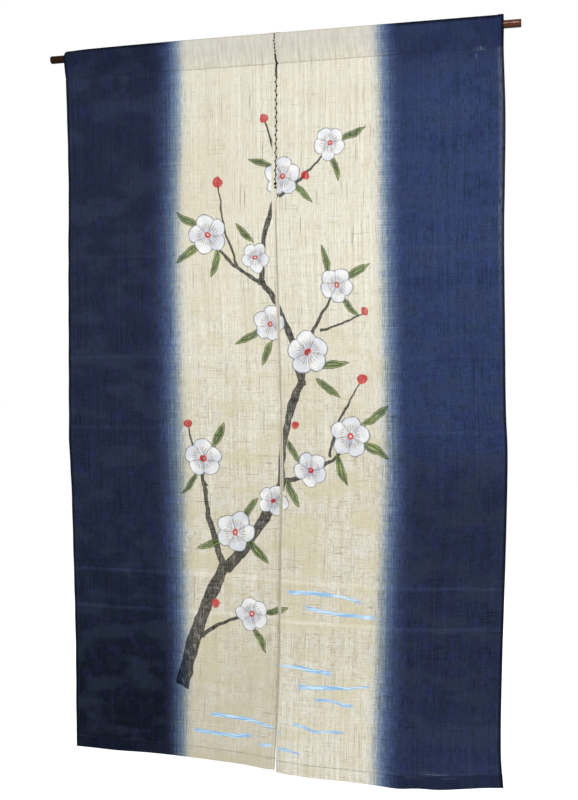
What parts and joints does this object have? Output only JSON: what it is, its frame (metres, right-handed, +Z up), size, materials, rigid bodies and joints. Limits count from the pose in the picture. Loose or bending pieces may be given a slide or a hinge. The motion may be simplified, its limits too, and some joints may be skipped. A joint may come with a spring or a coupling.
{
  "type": "noren curtain on its rod",
  "caption": "Split door curtain: two joined linen panels with a rod pocket along the top, hemmed sides and feet, hanging from a plain round wooden rod.",
  "frame": {"origin": "on the rod's axis, at the middle of its length", "axes": "+X along the rod to the viewer's right, +Y away from the viewer, +Z up"},
  "size_m": [0.985, 0.0475, 1.5101],
  "materials": {
    "rod_wood": "oiled",
    "linen": "hand-woven, dip-dyed indigo with an undyed ecru middle"
  },
  "bodies": {
    "root": {"rod": "rod_wood", "panel_left": "linen", "panel_right": "linen"}
  },
  "joints": []
}
